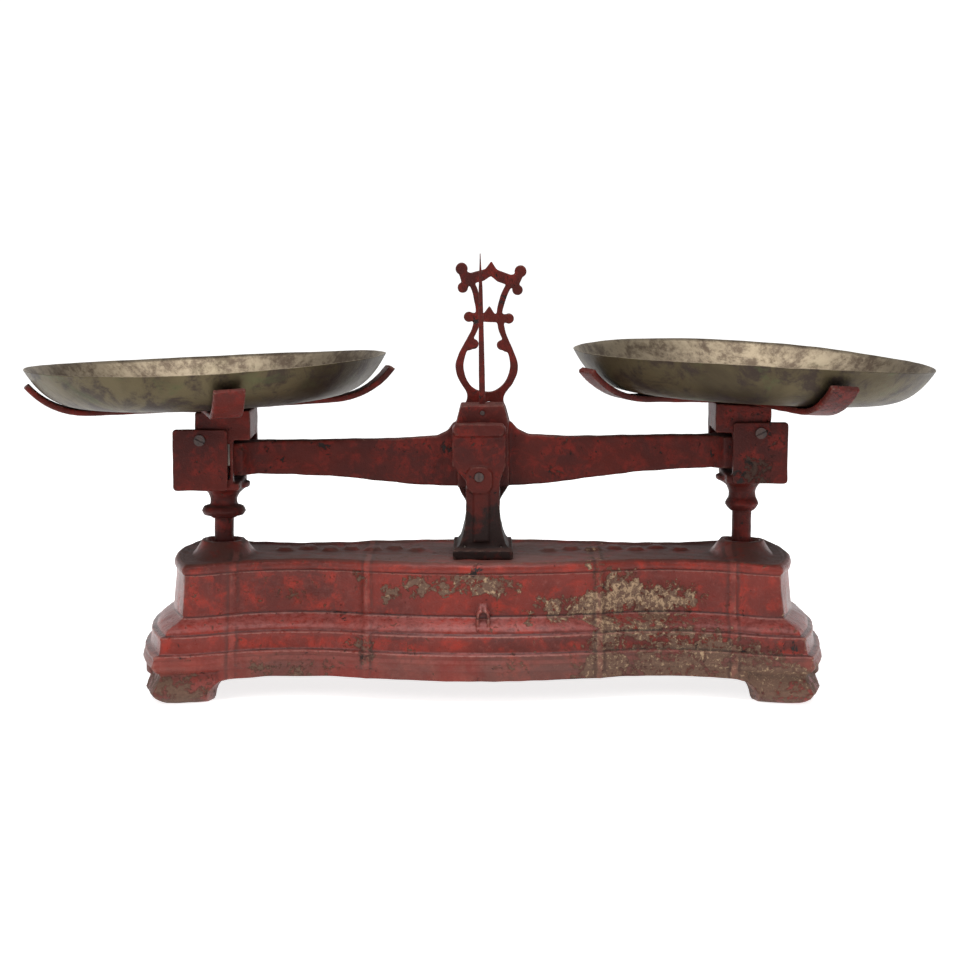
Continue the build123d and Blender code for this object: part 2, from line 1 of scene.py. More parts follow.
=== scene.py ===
import json
import math
import bpy
import bmesh
import numpy as np
from mathutils import Matrix, Vector


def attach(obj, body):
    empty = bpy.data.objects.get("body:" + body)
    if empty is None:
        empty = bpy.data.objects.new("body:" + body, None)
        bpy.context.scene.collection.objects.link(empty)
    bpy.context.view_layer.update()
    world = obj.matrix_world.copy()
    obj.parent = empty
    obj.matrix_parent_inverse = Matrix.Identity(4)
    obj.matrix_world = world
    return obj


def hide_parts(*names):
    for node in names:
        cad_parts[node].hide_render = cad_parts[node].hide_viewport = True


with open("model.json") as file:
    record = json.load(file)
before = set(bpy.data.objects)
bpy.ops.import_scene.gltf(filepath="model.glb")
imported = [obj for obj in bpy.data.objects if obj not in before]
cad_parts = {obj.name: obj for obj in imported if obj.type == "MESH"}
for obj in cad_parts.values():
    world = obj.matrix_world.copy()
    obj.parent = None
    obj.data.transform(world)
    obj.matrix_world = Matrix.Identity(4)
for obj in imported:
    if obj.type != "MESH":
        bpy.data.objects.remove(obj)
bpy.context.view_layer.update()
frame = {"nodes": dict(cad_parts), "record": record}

mm = 0.001
bodyOf = {node: body for body, nodes in frame["record"]["behaviour"]["bodies"].items() for node in nodes}


# ---- camera, light and floor -------------------------------------------------
cameraSetup = {"place": (-0.0019, -1.574, 0.3357), "pitch": 7.29, "lens": 90.2, "sensor": 36, "reach": 50}
worldWhite = 0.36
lightSetup = {
    "overhead": {"place": (0.0, -0.35, 1.6), "size": (2.0, 1.2), "watts": 32, "aim": (0, 0, 0.1)},
    "key": {"place": (-1.2, -1.7, 1.1), "size": (0.8, 0.8), "watts": 11, "aim": (0, 0, 0.12)},
    "fill": {"place": (1.4, -1.5, 0.9), "size": (0.8, 0.8), "watts": 6, "aim": (0, 0, 0.12)},
}


def makeCamera(setup):
    data = bpy.data.cameras.new("photoCamera")
    data.lens = setup["lens"]
    data.sensor_width = setup["sensor"]
    data.clip_end = setup["reach"]
    camera = bpy.data.objects.new("photoCamera", data)
    camera.location = setup["place"]
    camera.rotation_euler = (math.radians(90 - setup["pitch"]), 0, 0)
    bpy.context.scene.collection.objects.link(camera)
    bpy.context.scene.camera = camera


def makeLights(setup):
    for name, item in setup.items():
        data = bpy.data.lights.new(name, "AREA")
        data.shape = "RECTANGLE"
        data.size, data.size_y = item["size"]
        data.energy = item["watts"]
        lamp = bpy.data.objects.new(name, data)
        lamp.location = item["place"]
        aim = Vector(item["aim"]) - Vector(item["place"])
        lamp.rotation_euler = aim.to_track_quat("-Z", "Y").to_euler()
        bpy.context.scene.collection.objects.link(lamp)
    world = bpy.data.worlds.new("studio")
    world.use_nodes = True
    world.node_tree.nodes["Background"].inputs["Color"].default_value = (1, 1, 1, 1)
    world.node_tree.nodes["Background"].inputs["Strength"].default_value = worldWhite
    bpy.context.scene.world = world
    bpy.context.scene.view_settings.view_transform = "Standard"


makeCamera(cameraSetup)
makeLights(lightSetup)
print("camera and lights ready")


# ---- shader helpers ----------------------------------------------------------
class Wire:
    # a value socket; sums and products on it add Math nodes
    def __init__(self, paint, socket):
        self.paint = paint
        self.socket = socket

    def join(self, kind, first, second):
        return self.paint.node("ShaderNodeMath", {"operation": kind}, {0: first, 1: second})

    def __add__(self, other):
        return self.join("ADD", self, other)

    def __sub__(self, other):
        return self.join("SUBTRACT", self, other)

    def __rsub__(self, other):
        return self.join("SUBTRACT", other, self)

    def __mul__(self, other):
        return self.join("MULTIPLY", self, other)

    __radd__ = __add__
    __rmul__ = __mul__

    def most(self, other):
        return self.join("MAXIMUM", self, other)

    def size(self):
        return self.paint.node("ShaderNodeMath", {"operation": "ABSOLUTE"}, {0: self})


class Paint:
    # one material, built node by node
    def __init__(self, name):
        self.material = bpy.data.materials.new(name)
        self.material.use_nodes = True
        self.tree = self.material.node_tree
        self.tree.nodes.clear()
        self.coords = self.node("ShaderNodeTexCoord", {}, {}, "Object")

    def node(self, kind, settings, values, output=0):
        made = self.tree.nodes.new(kind)
        for key, value in settings.items():
            setattr(made, key, value)
        for key, value in values.items():
            if isinstance(value, Wire):
                self.tree.links.new(value.socket, made.inputs[key])
            else:
                made.inputs[key].default_value = value
        return Wire(self, made.outputs[output])

    def noise(self, scale, detail=5.0, rough=0.55, warp=0.0):
        values = {"Vector": self.coords, "Scale": scale, "Detail": detail, "Roughness": rough, "Distortion": warp}
        return self.node("ShaderNodeTexNoise", {}, values)

    def between(self, value, low, high):
        # 0 below low, 1 above high, eased
        settings = {"interpolation_type": "SMOOTHSTEP"}
        return self.node("ShaderNodeMapRange", settings, {"Value": value, "From Min": low, "From Max": high})

    def blend(self, mask, first, second):
        settings = {"data_type": "RGBA"}
        made = self.node("ShaderNodeMix", settings, {0: mask}, 2)
        mix = made.socket.node
        for index, value in ((6, first), (7, second)):
            if isinstance(value, Wire):
                self.tree.links.new(value.socket, mix.inputs[index])
            else:
                mix.inputs[index].default_value = (*value, 1)
        return made

    def axis(self, name):
        return self.node("ShaderNodeSeparateXYZ", {}, {0: self.coords}, name)

    def facingUp(self):
        return self.node("ShaderNodeSeparateXYZ", {}, {0: self.node("ShaderNodeTexCoord", {}, {}, "Normal")}, "Z")

    def pointiness(self):
        return self.node("ShaderNodeNewGeometry", {}, {}, "Pointiness")

    def finish(self, values, height, depth, **constants):
        bump = self.node("ShaderNodeBump", {}, {"Height": height, "Strength": 1.0, "Distance": depth})
        values = {**values, **constants, "Normal": bump}
        shader = self.node("ShaderNodeBsdfPrincipled", {}, values)
        out = self.tree.nodes.new("ShaderNodeOutputMaterial")
        self.tree.links.new(shader.socket, out.inputs[0])
        return self.material


# ---- finishes ----------------------------------------------------------------
def wornPaint(name, look):
    """Paint over iron. The colour starts as a blend of paint and deep by broad noise. Each mask, eased from a
    noise, a height or a place, then lays the next colour over it: bright, pale, low dirt (on the column post
    also painted shade), a painted highlight on up-facing faces of the lower mouldings, bare top, bare iron where
    noise + spots pass a limit, cream flecks on the bare iron, black chips, dirt and painted shade in dips, a
    painted shadow under each moulding lip with a pale band below it (worn lip edge and painted highlight),
    painted shade beside the ridges with a painted highlight on each crest, pale edges."""
    p = Paint(name)
    broad = p.noise(look["broad"], 3, 0.5)
    patch = p.noise(look["patch"], 9, 0.68, 0.4)
    fleck = p.noise(look["fleck"], 7, 0.72, 0.2)
    grain = p.noise(900, 3, 0.6)
    point, up = p.pointiness(), p.facingUp()
    edge = p.between(point, 0.52, 0.57)
    dip = 1 - p.between(point, 0.42, 0.495)
    x, z = p.axis("X"), p.axis("Z")
    top = p.between(up, 0.6, 0.95) * p.between(z, (look["topFrom"] - 2) * mm, look["topFrom"] * mm)
    wavyX, wavyZ = x + (patch - 0.5) * 0.05, z + (broad - 0.5) * 0.02 + (patch - 0.5) * 0.02
    spots = 0.0
    for across, height, wide, tall, amount in look["spots"]:
        dx, dz = (wavyX - across * mm) * (1 / (wide * mm)), (wavyZ - height * mm) * (1 / (tall * mm))
        spots = (1 - p.between(dx * dx + dz * dz, 0.1, 1.7)) * amount + spots
    colour = p.blend(p.between(broad, 0.35, 0.65), look["paint"], look["deep"])
    colour = p.blend(p.between(patch, 0.46, 0.66) * 0.8, colour, look["bright"])
    colour = p.blend(p.between(fleck, 0.5, 0.75) * look["fade"], colour, look["pale"])

    spread = x.size()
    # towards the bottom: on the red base a brown dirt band; on the maroon column post a dark band, partly dirt and
    # partly painted shade
    low = 1 - p.between(z, look["low"][0] * mm, look["low"][1] * mm)
    low = low * (1 - p.between(spread, look["lowWide"] * mm, look["lowWide"] * 1.6 * mm))
    lowMask = low * p.between(patch * 0.5 + broad * 0.5, 0.36, 0.56) * look["lowAmount"]
    colour = p.blend(lowMask, colour, look["lowDirtAndShadeColour"])
    # painted highlight: up-facing faces of the lower mouldings turn pale pink, as if lit from above
    litShoulder = p.between(up, 0.12, 0.6) * (1 - p.between(z, 0.06, 0.07))
    colour = p.blend(litShoulder * p.between(fleck, 0.3, 0.6) * look["paintedHighlight"], colour, look["paintedHighlightColour"])
    colour = p.blend(top * p.between(patch, 0.3, 0.55) * look["topBare"], colour, look["topColour"])

    bareAmount = look["bare"] + spots + broad * 0.12
    bare = p.between(patch * 0.45 + fleck * 0.55 + bareAmount, 0.785, 0.85)
    colour = p.blend(bare, colour, p.blend(grain, look["iron"], look["rust"]))
    side = p.between(x, look["creamFrom"], look["creamTo"])
    high = p.between(z, 0.0, 0.06)
    speck = p.noise(look["creamScale"], 8, 0.75, 0.6) + side * look["cream"]
    speck = speck + high * (spots * look["creamSpots"] + 0.05)
    cream = p.between(speck, 0.655, 0.735) * bare.most(edge)
    colour = p.blend(cream, colour, p.blend(fleck, look["creamDark"], look["creamLight"]))
    fineChip = p.noise(look["chipScale"] * 4, 5, 0.65) - 0.035
    chip = p.noise(look["chipScale"], 6, 0.7, 0.3).most(fineChip)
    chip = p.between(chip + dip * 0.05, look["chip"], look["chip"] + 0.04)
    colour = p.blend(chip, colour, look["black"])
    # darker in concave dips: dirt in the hollows, and painted shade under the moulding lips
    colour = p.blend(dip * look["grimeAndShade"], colour, look["black"])

    # painted shadow: a dark band under each moulding lip; just below it a pale band, a worn lip edge and painted
    # highlight
    for height, half in look["lipShadeAndHighlight"]:
        wave = fleck * 0.0012 + (z - (height + 0.6) * mm)
        paintedLightBand = 1 - p.between(wave.size(), half * 0.4 * mm, half * mm)
        colour = p.blend(paintedLightBand * p.between(patch, 0.3, 0.6) * 0.7, colour, look["black"])
        below = (wave + half * 1.3 * mm).size()
        paintedLightBand = 1 - p.between(below, half * 0.2 * mm, half * 0.6 * mm)
        colour = p.blend(paintedLightBand * p.between(fleck, 0.35, 0.55) * 0.55, colour, look["wornEdgeAndHighlightColour"])
    # painted shade: dark bands on both sides of each ridge; painted highlight: a pale band along its crest
    for across in look["shadedRidges"]:
        off = (spread - across * mm + (patch - 0.5) * 0.004).size()
        paintedLightBand = p.between(off, 0.0016, 0.0026) * (1 - p.between(off, 0.003, 0.0052))
        colour = p.blend(paintedLightBand * p.between(patch, 0.35, 0.6) * 0.7, colour, look["ridgeShadeColour"])
        paintedLightBand = 1 - p.between(off, 0.001, 0.0024)
        colour = p.blend(paintedLightBand * p.between(patch, 0.4, 0.6) * 0.3, colour, look["pale"])
    colour = p.blend(edge * p.between(fleck, 0.42, 0.6) * look["edge"], colour, look["wornEdgeAndHighlightColour"])

    rough = look["gloss"] + bare * 0.3 + chip * 0.2 + fleck * 0.2 + low * 0.12 + top * 0.35
    height = grain * 0.25 + fleck * 0.6 + patch * 0.6 - bare * 0.7 - chip * 0.6
    values = {"Base Color": colour, "Roughness": rough}
    return p.finish(values, height, look["depth"], **{"Specular IOR Level": look["shine"]})


redLook = {
    "broad": 16, "patch": 75, "fleck": 260, "creamScale": 330, "chipScale": 48, "topFrom": 84,
    "gloss": 0.20, "shine": 0.25, "depth": 0.0006, "fade": 0.35, "grimeAndShade": 0.6, "edge": 0.5,
    "paint": (0.160, 0.020, 0.013), "deep": (0.082, 0.015, 0.011), "bright": (0.280, 0.025, 0.014),
    "pale": (0.27, 0.080, 0.064), "iron": (0.050, 0.030, 0.022), "rust": (0.17, 0.090, 0.058),
    "creamDark": (0.19, 0.110, 0.065), "creamLight": (0.44, 0.31, 0.185), "black": (0.018, 0.013, 0.012),
    "wornEdgeAndHighlightColour": (0.26, 0.12, 0.095), "bare": 0.15, "topBare": 0.85, "topColour": (0.066, 0.033, 0.027),
    "paintedHighlight": 0.55, "paintedHighlightColour": (0.30, 0.085, 0.075), "chip": 0.65,
    "cream": 0.08, "creamSpots": 0.26, "creamFrom": -0.06, "creamTo": 0.06,
    "low": (28, 34), "lowWide": 9000, "lowAmount": 0.6, "lowDirtAndShadeColour": (0.120, 0.052, 0.040),
    "lipShadeAndHighlight": [(53.4, 0.8), (43.2, 0.7), (31.8, 0.6), (80.6, 0.7)],
    "shadedRidges": [75, 161], "ridgeShadeColour": (0.050, 0.022, 0.018),
    "spots": [(-6, 72, 36, 8, 0.15), (-43, 70, 7, 9, 0.15), (-60, 67, 6, 6, 0.15), (-81, 75, 6, 6, 0.13),
              (55, 59, 26, 8, 0.12), (77, 52, 10, 45, 0.11), (113, 63, 34, 11, 0.13), (92, 72, 10, 11, 0.12),
              (115, 47, 48, 6, 0.10), (135, 22, 80, 14, 0.12), (190, 10, 35, 15, 0.14), (-195, 8, 30, 12, 0.13),
              (-110, 20, 45, 9, 0.08), (-75, 34, 10, 10, 0.09), (140, 37, 50, 7, 0.09), (-125, 64, 14, 7, 0.07)],
}
maroonLook = {
    **redLook, "broad": 22, "patch": 95, "topFrom": 0, "gloss": 0.36, "shine": 0.13, "fade": 0.25, "edge": 0.7,
    "paint": (0.073, 0.0095, 0.0062), "deep": (0.044, 0.008, 0.0065), "bright": (0.135, 0.012, 0.008),
    "pale": (0.10, 0.027, 0.021), "iron": (0.026, 0.017, 0.014), "rust": (0.060, 0.030, 0.022),
    "wornEdgeAndHighlightColour": (0.14, 0.075, 0.058), "topBare": 0.5, "paintedHighlight": 0.0, "chip": 0.625,
    "cream": -0.2, "creamSpots": -0.5, "lipShadeAndHighlight": [], "shadedRidges": [], "spots": [(180, 145, 10, 12, 0.1)],
    "low": (112, 146), "lowWide": 22, "lowAmount": 1.5, "lowDirtAndShadeColour": (0.016, 0.008, 0.007),
}


def brassFinish():
    """Tarnished brass: two dull browns by broad noise, then dark and green patches; where the face looks up, a
    paler mottled tone, painted light from above; a pale painted highlight on the rim edges and dark specks last."""
    p = Paint("tarnishedBrass")
    broad = p.noise(14, 4, 0.6, 0.5)
    patch = p.noise(46, 8, 0.7, 0.5)
    fleck = p.noise(230, 6, 0.7)
    # painted light: faces that look up (the pan's inside) get a paler mottled tone, as if lit from above
    inside = p.between(p.facingUp(), 0.1, 0.6)
    colour = p.blend(p.between(broad, 0.38, 0.62), (0.092, 0.072, 0.038), (0.046, 0.034, 0.019))
    colour = p.blend(p.between(patch, 0.46, 0.6) * 0.8, colour, (0.032, 0.021, 0.019))
    green = p.between(p.noise(30, 6, 0.7, 0.8), 0.54, 0.66)
    colour = p.blend(green * 0.5, colour, (0.065, 0.074, 0.032))
    mottle = p.between(patch * 0.6 + fleck * 0.4, 0.42, 0.6)
    bright = p.blend(mottle, (0.29, 0.235, 0.165), (0.105, 0.076, 0.052))
    colour = p.blend(inside * 0.75, colour, bright)
    # painted highlight: a pale band along the pan rim
    edge = p.between(p.pointiness(), 0.56, 0.64) * p.between(p.axis("Z"), 0.197, 0.203)
    colour = p.blend(edge * 0.8, colour, (0.30, 0.24, 0.15))
    spot = p.between(fleck, 0.66, 0.72)
    colour = p.blend(spot * 0.7, colour, (0.055, 0.042, 0.03))
    rough = 0.36 + patch * 0.25 + spot * 0.2
    values = {"Base Color": colour, "Roughness": rough, "Metallic": 0.85 - spot * 0.4}
    return p.finish(values, fleck * 0.4 + patch, 0.0004)


def bareMetal(name, light, dark, shine):
    """Old bare metal: two tones by noise, rough where dark."""
    p = Paint(name)
    patch = p.noise(180, 7, 0.7, 0.3)
    fleck = p.noise(800, 4, 0.7)
    tone = p.between(patch, 0.38, 0.62)
    colour = p.blend(tone, dark, light)
    colour = p.blend(p.between(fleck, 0.6, 0.7) * 0.6, colour, (0.09, 0.045, 0.025))
    values = {"Base Color": colour, "Roughness": 0.62 - tone * 0.2, "Metallic": tone * shine}
    return p.finish(values, patch + fleck * 0.5, 0.0003)


finishes = {
    "red_paint": wornPaint("redPaintOnIron", redLook),
    "maroon_paint": wornPaint("maroonPaintOnIron", maroonLook),
    "brass": brassFinish(),
    "dark_iron": bareMetal("darkIron", (0.060, 0.032, 0.027), (0.028, 0.017, 0.015), 0.3),
    "steel": bareMetal("oldSteel", (0.17, 0.14, 0.12), (0.06, 0.045, 0.038), 0.8),
}
slotOf = {part["node"]: part["material_slot"] for part in frame["record"]["subparts"]}
print("finishes ready")


# ---- mesh helpers ------------------------------------------------------------
def lumps(points, size, seed, waves=14):
    """Sum of plane waves: value = mean of sin(k . point + phase), wavelengths from size to 4 times size."""
    rng = np.random.default_rng(seed)
    directions = rng.normal(size=(waves, 3))
    directions /= np.linalg.norm(directions, axis=1)[:, None]
    lengths = size * 4 ** rng.random(waves)
    phases = rng.random(waves) * 2 * np.pi
    angles = points @ (directions * (2 * np.pi / lengths)[:, None]).T + phases
    return np.sin(angles).mean(axis=1)


def meshFrom(name, points, faces):
    mesh = bpy.data.meshes.new(name)
    mesh.from_pydata(points.tolist(), [], faces.tolist())
    mesh.update()
    return mesh


def piece(name, mesh, body, slot, *nodes):
    """Put a mesh in the scene as a finished piece that rides on a body and stands for CAD nodes."""
    mesh.name = name
    ob = bpy.data.objects.new(name, mesh)
    bpy.context.scene.collection.objects.link(ob)
    mesh.materials.clear()
    mesh.materials.append(finishes[slot])
    mesh.polygons.foreach_set("use_smooth", np.ones(len(mesh.polygons), bool))
    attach(ob, body)
    if nodes:
        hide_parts(*nodes)
    return ob


def readPoints(mesh, what="co"):
    data = np.zeros(len(mesh.vertices) * 3)
    mesh.vertices.foreach_get(what, data)
    return data.reshape(-1, 3)


def roughen(mesh, size, depth, seed):
    """Move each point along its normal by depth times the lumps function, as sand casting does."""
    points = readPoints(mesh)
    normals = readPoints(mesh, "normal")
    points += normals * (lumps(points, size, seed) * depth)[:, None]
    mesh.vertices.foreach_set("co", points.ravel())
    mesh.update()


def weld(mesh, gap, outward=False):
    # join points closer than gap; outward turns every face to look out
    shell = bmesh.new()
    shell.from_mesh(mesh)
    bmesh.ops.remove_doubles(shell, verts=shell.verts, dist=gap)
    if outward:
        bmesh.ops.recalc_face_normals(shell, faces=shell.faces)
    shell.to_mesh(mesh)
    shell.free()


def castCopy(node, look):
    """A worn casting: the CAD node's shape, rebuilt in small cells, softened and roughened."""
    mesh = frame["nodes"][node].data.copy()
    weld(mesh, 0.000002)
    ob = bpy.data.objects.new("work", mesh)
    bpy.context.scene.collection.objects.link(ob)
    remesh = ob.modifiers.new("cells", "REMESH")
    remesh.mode = "VOXEL"
    remesh.voxel_size = look["cell"]
    soften = ob.modifiers.new("soften", "SMOOTH")
    soften.factor = 0.5
    soften.iterations = look["soften"]
    bpy.context.view_layer.update()
    graph = bpy.context.evaluated_depsgraph_get()
    done = bpy.data.meshes.new_from_object(ob.evaluated_get(graph))
    bpy.data.objects.remove(ob)
    roughen(done, look["lump"], look["rough"], look["seed"])
    return piece(node + "_cast", done, bodyOf[node], slotOf[node], node)


# ---- base casting ------------------------------------------------------------
base = {
    "top": 86.0, "wall": 5.0, "depth": 54.0, "end": 201.5, "bay": 75.0, "bayIn": 10, "waist": 112.0, "waistIn": 18,
    "outer": 161.0, "outerIn": 8, "lobe": 177.0, "lobeOut": 1.6, "corner": 190.0, "cornerOut": 4.5,
    "along": ((0, 0.12, 1, 1.94, 3, 4), (18, 33, 35, 29, 30)),
    "up": ((0, 4, 28, 33, 40, 58, 78, 86), (4, 14, 8, 4, 28, 8, 13)), "across": 33, "underAcross": 7,
    "insideRings": (74, 66, 58, 52, 46, 38, 30, 20, 12, 0),
    "gap": 14.5, "gapFront": 175.5, "gapSide": 50.0, "stem": 171.0, "hole": 12.0, "boss": 9.0,
    "bossSize": (21.0, 42.0), "bossTop": 14.5, "turn": 159.0, "blend": 24.0,
    "outside": [(0, 13), (1.5, 16.5), (4.5, 20.4), (7.5, 21.6), (11, 19.6), (15, 17), (18.3, 16.2), (19.6, 17.2),
                (21.5, 20.4), (24.5, 21.8), (28.6, 20.3), (30.2, 20.7), (31.2, 20.2), (31.9, 16.9), (36, 16.2),
                (40.4, 15.7), (41.6, 16.2), (42.6, 15.6), (43.3, 12.7), (45, 12.4), (47, 10.9), (49, 8.2),
                (50.6, 5.2), (52, 2.6), (53.2, 1.3), (54.4, 1.9), (80.2, -0.5), (81, 0.9), (82.4, 1.5), (84, 1.4),
                (85.3, 0.8), (86, -0.3)],
    "inside": [(-1, 4), (12, 8), (20, 12), (38, 10), (46, 4), (52, -3.5), (81, -5)],
    "gapEdge": [(13, 14.5), (7.3, 13), (4, 9.8), (1.6, 5), (0, 0)], "gapOut": 14.0,
    "apron": 19.8, "apronSpan": (14, 22),
    "ridges": (75.0, 161.0), "ridgeWide": 2.3, "ridgeRise": ([30, 52, 56, 78, 81], [1.2, 1.2, 2.5, 2.5, 0.5]),
    "bead": 1.4, "beadIn": 2.6, "beadWide": 1.9, "bossCurve": 1.3, "plaque": (0.0, 46.0, 54.6, 4.4),
    "ornamentSize": (5.4, 7.2), "ornamentPower": 2.5, "ornamentSlope": 2.6, "ornamentRise": 1.8,
    "lumps": [(0.011, 0.00075, 1), (0.045, 0.0012, 2)],
    "ornaments": [(side * (44 + 14.5 * i), 12 + 6 * (i % 2)) for side in (-1, 1) for i in range(7)],
}


def steps(stops, counts):
    # places from stop to stop, with a count of cells between each two
    parts = [np.linspace(low, high, count + 1)[:-1] for low, high, count in zip(stops, stops[1:], counts)]
    return np.concatenate(parts + [stops[-1:]])


def parabola(places, values, at):
    """The parabola through three points: sum of value * (at - other) / (place - other) over both others."""
    total = 0
    for i in range(3):
        j, k = (i + 1) % 3, (i + 2) % 3
        share = (at - places[j]) * (at - places[k]) / ((places[i] - places[j]) * (places[i] - places[k]))
        total = total + values[i] * share
    return total


def outline(out, quarter):
    """A quarter of the outline, out mm outside the top one, at the curve places 0 to 4: 0 to 1 the middle bay
    (a parabola), 1 to 2 the waist and 2 to 3 the corner lobe (each a parabola through three points), 3 to 4 the
    end (a parabola)."""
    front = base["depth"] + out
    bay = (base["bay"], front - base["bayIn"])
    waist = (base["waist"], front - base["waistIn"])
    outer = (base["outer"] + 0.2 * out, front - base["outerIn"])
    lobe = (base["lobe"] + 0.5 * out, front + base["lobeOut"])
    corner = (base["corner"] + 0.9 * out, front + base["cornerOut"])
    end = base["end"] + out
    t = np.clip(quarter, 0, 1)
    x, y = bay[0] * t, front - base["bayIn"] * t * t
    t = np.clip(quarter - 1, 0, 1)
    waistX = bay[0] + (outer[0] - bay[0]) * t
    waistY = parabola(*zip(bay, waist, outer), waistX)
    x, y = np.where(quarter > 1, waistX, x), np.where(quarter > 1, waistY, y)
    t = np.clip(quarter - 2, 0, 1)
    lobeX, lobeY = [parabola((0, 0.5, 1), values, t) for values in zip(outer, lobe, corner)]
    x, y = np.where(quarter > 2, lobeX, x), np.where(quarter > 2, lobeY, y)
    t = 1 - np.clip(quarter - 3, 0, 1)
    return np.where(quarter > 3, end - (end - corner[0]) * t ** 2, x), np.where(quarter > 3, corner[1] * t, y)


def makeBase():
    """The casting as a closed grid: up the mouldings, over the top, down the stem holes, back inside."""
    quarter, heights = steps(*base["along"]), steps(*base["up"])
    count = len(quarter)
    places, sizes = np.array(base["outside"], float).T
    insidePlaces, insideSizes = np.array(base["inside"], float).T
    topX, topY = outline(0.0 * quarter, quarter)
    gapX, gapY = [[(base[key] - a, h) for a, h in base["gapEdge"]] for key in ("gapFront", "gapSide")]
    floorX, floorY = outline(base["gapOut"] + 0 * quarter, quarter)
    lift = np.where(quarter <= 3, np.interp(floorX, *zip(*gapX)), np.interp(floorY, *zip(*gapY)))

    def ring(height, out):
        return np.stack([*outline(out, quarter), height + 0 * quarter], axis=-1)

    def lifted(height):
        # lower rings rise over the foot gaps
        return np.where(height < base["blend"], lift + height * (1 - lift / base["blend"]), height)

    rings = []
    for height in heights:
        z = lifted(height)
        apron = (z > base["apronSpan"][0]) & (z < base["apronSpan"][1])
        out = np.maximum(np.interp(z, places, sizes), base["apron"] * lift / base["gap"] * apron)
        for ridge in base["ridges"]:
            near = np.exp(-((topX - ridge) / base["ridgeWide"]) ** 2) * (quarter < 3)
            out = out + near * np.interp(height, *base["ridgeRise"])
        rings.append(ring(z, out))
    turn = int(np.argmin(np.abs(topX - base["turn"]) + 99 * (quarter > 2)))
    along = np.concatenate([[0], np.cumsum(np.hypot(np.diff(topX), np.diff(topY)))])
    angle = np.pi * (1 - (along - along[turn]) / (along[-1] - along[turn]))
    angle[:turn] = 0
    before = quarter < quarter[turn]
    holeX, holeY = base["stem"] + base["hole"] * np.cos(angle), base["hole"] * np.sin(angle)
    middleX = np.where(before, topX * base["turn"] / topX[turn], holeX)
    middle = np.stack([middleX, np.where(before, 0, holeY)], axis=-1)
    rim = rings[-1][:, :2]

    def cover(x, y):
        a, b = base["bossSize"]
        dx, dy = np.abs(x) - base["stem"], y
        r = np.hypot(dx, dy)
        edge = a * b * r / np.maximum(np.hypot(b * dx, a * dy), 0.001)
        slope = np.clip((edge - r) / (edge - base["bossTop"]), 0, 1)
        return base["top"] + base["boss"] * slope ** base["bossCurve"]

    for t in np.linspace(0, 1, base["across"] + 1)[1:]:
        flat = rim * (1 - t) + middle * t
        inset = t * np.hypot(*(middle - rim).T)
        bead = base["bead"] * np.exp(-((inset - base["beadIn"]) / base["beadWide"]) ** 2)
        rings.append(np.column_stack([flat, np.maximum(cover(*flat.T), base["top"] + bead)]))
    top = len(rings) - 1
    under = base["top"] - base["wall"]
    rings.append(np.column_stack([middle, np.full(count, under)]))
    for t in np.linspace(1, 0, base["underAcross"] + 1)[1:]:
        flat = ring(under, -base["wall"] + 0 * quarter)[:, :2] * (1 - t) + middle * t
        rings.append(np.column_stack([flat, np.full(count, under)]))
    for height in base["insideRings"]:
        z = lifted(height)
        rings.append(ring(z, np.interp(z, insidePlaces, insideSizes)))
    quarterGrid = np.array(rings)
    turned = quarterGrid[:, ::-1]
    sides = [quarterGrid, turned * (1, -1, 1), quarterGrid * (-1, -1, 1), turned * (-1, 1, 1)]
    grid = np.concatenate([side[:, :-1] for side in sides], axis=1)
    rows, columns = grid.shape[:2]
    index = np.arange(rows * columns).reshape(rows, columns)
    nextColumn = np.roll(index, -1, axis=1)
    nextRow = np.roll(index, -1, axis=0)
    faces = np.stack([index, nextColumn, np.roll(nextRow, -1, axis=1), nextRow], axis=-1)
    keep = np.ones((rows, columns), bool)
    place = np.concatenate([quarter[:-1], quarter[::-1][:-1]] * 2)
    keep[top] = np.minimum(place, np.roll(place, -1)) >= quarter[turn] - 1e-9
    points = grid.reshape(-1, 3)
    x, y, z = points.T
    raised = np.zeros(len(points))
    halfX, halfY = base["ornamentSize"]
    power = base["ornamentPower"]
    for cx, cy in base["ornaments"]:
        inside = 1 - (np.abs((x - cx) / halfX) ** power + np.abs((y - cy) / halfY) ** power)
        raised = np.maximum(raised, np.clip(inside * base["ornamentSlope"], 0, 1) * base["ornamentRise"])
    row = np.arange(len(points)) // columns
    points[:, 2] += raised * ((z > base["top"] - 0.1) & (row <= top))
    cx, low, high, half = base["plaque"]
    dx, dz = np.abs(x - cx), np.clip(z - high, 0, None)
    tall = np.clip((low - z) / 0.8, 0, 1)
    reach = np.hypot(dx, dz)
    frameLine = 0.55 + 0.45 * np.clip((reach - half + 1.8) / 0.5, 0, 1)
    plaque = np.clip((half - reach) / 0.5, 0, 1) * (1 - tall) * frameLine
    plaque *= (y < -40) & (row < len(heights)) & (z < 62)
    points[:, 1] += plaque * (np.minimum(y - 0.8, -base["depth"] - 10.8) - y)
    mesh = meshFrom("baseShell", points * mm, faces[keep])
    weld(mesh, 0.00002, outward=True)
    for size, depth, seed in base["lumps"]:
        roughen(mesh, size, depth, seed)
    points = readPoints(mesh)
    points[:, 2] = np.maximum(points[:, 2], 0)
    mesh.vertices.foreach_set("co", points.ravel())
    piece("base_shell", mesh, bodyOf["base_casting"], "red_paint", "base_casting")


makeBase()
print("base ready")


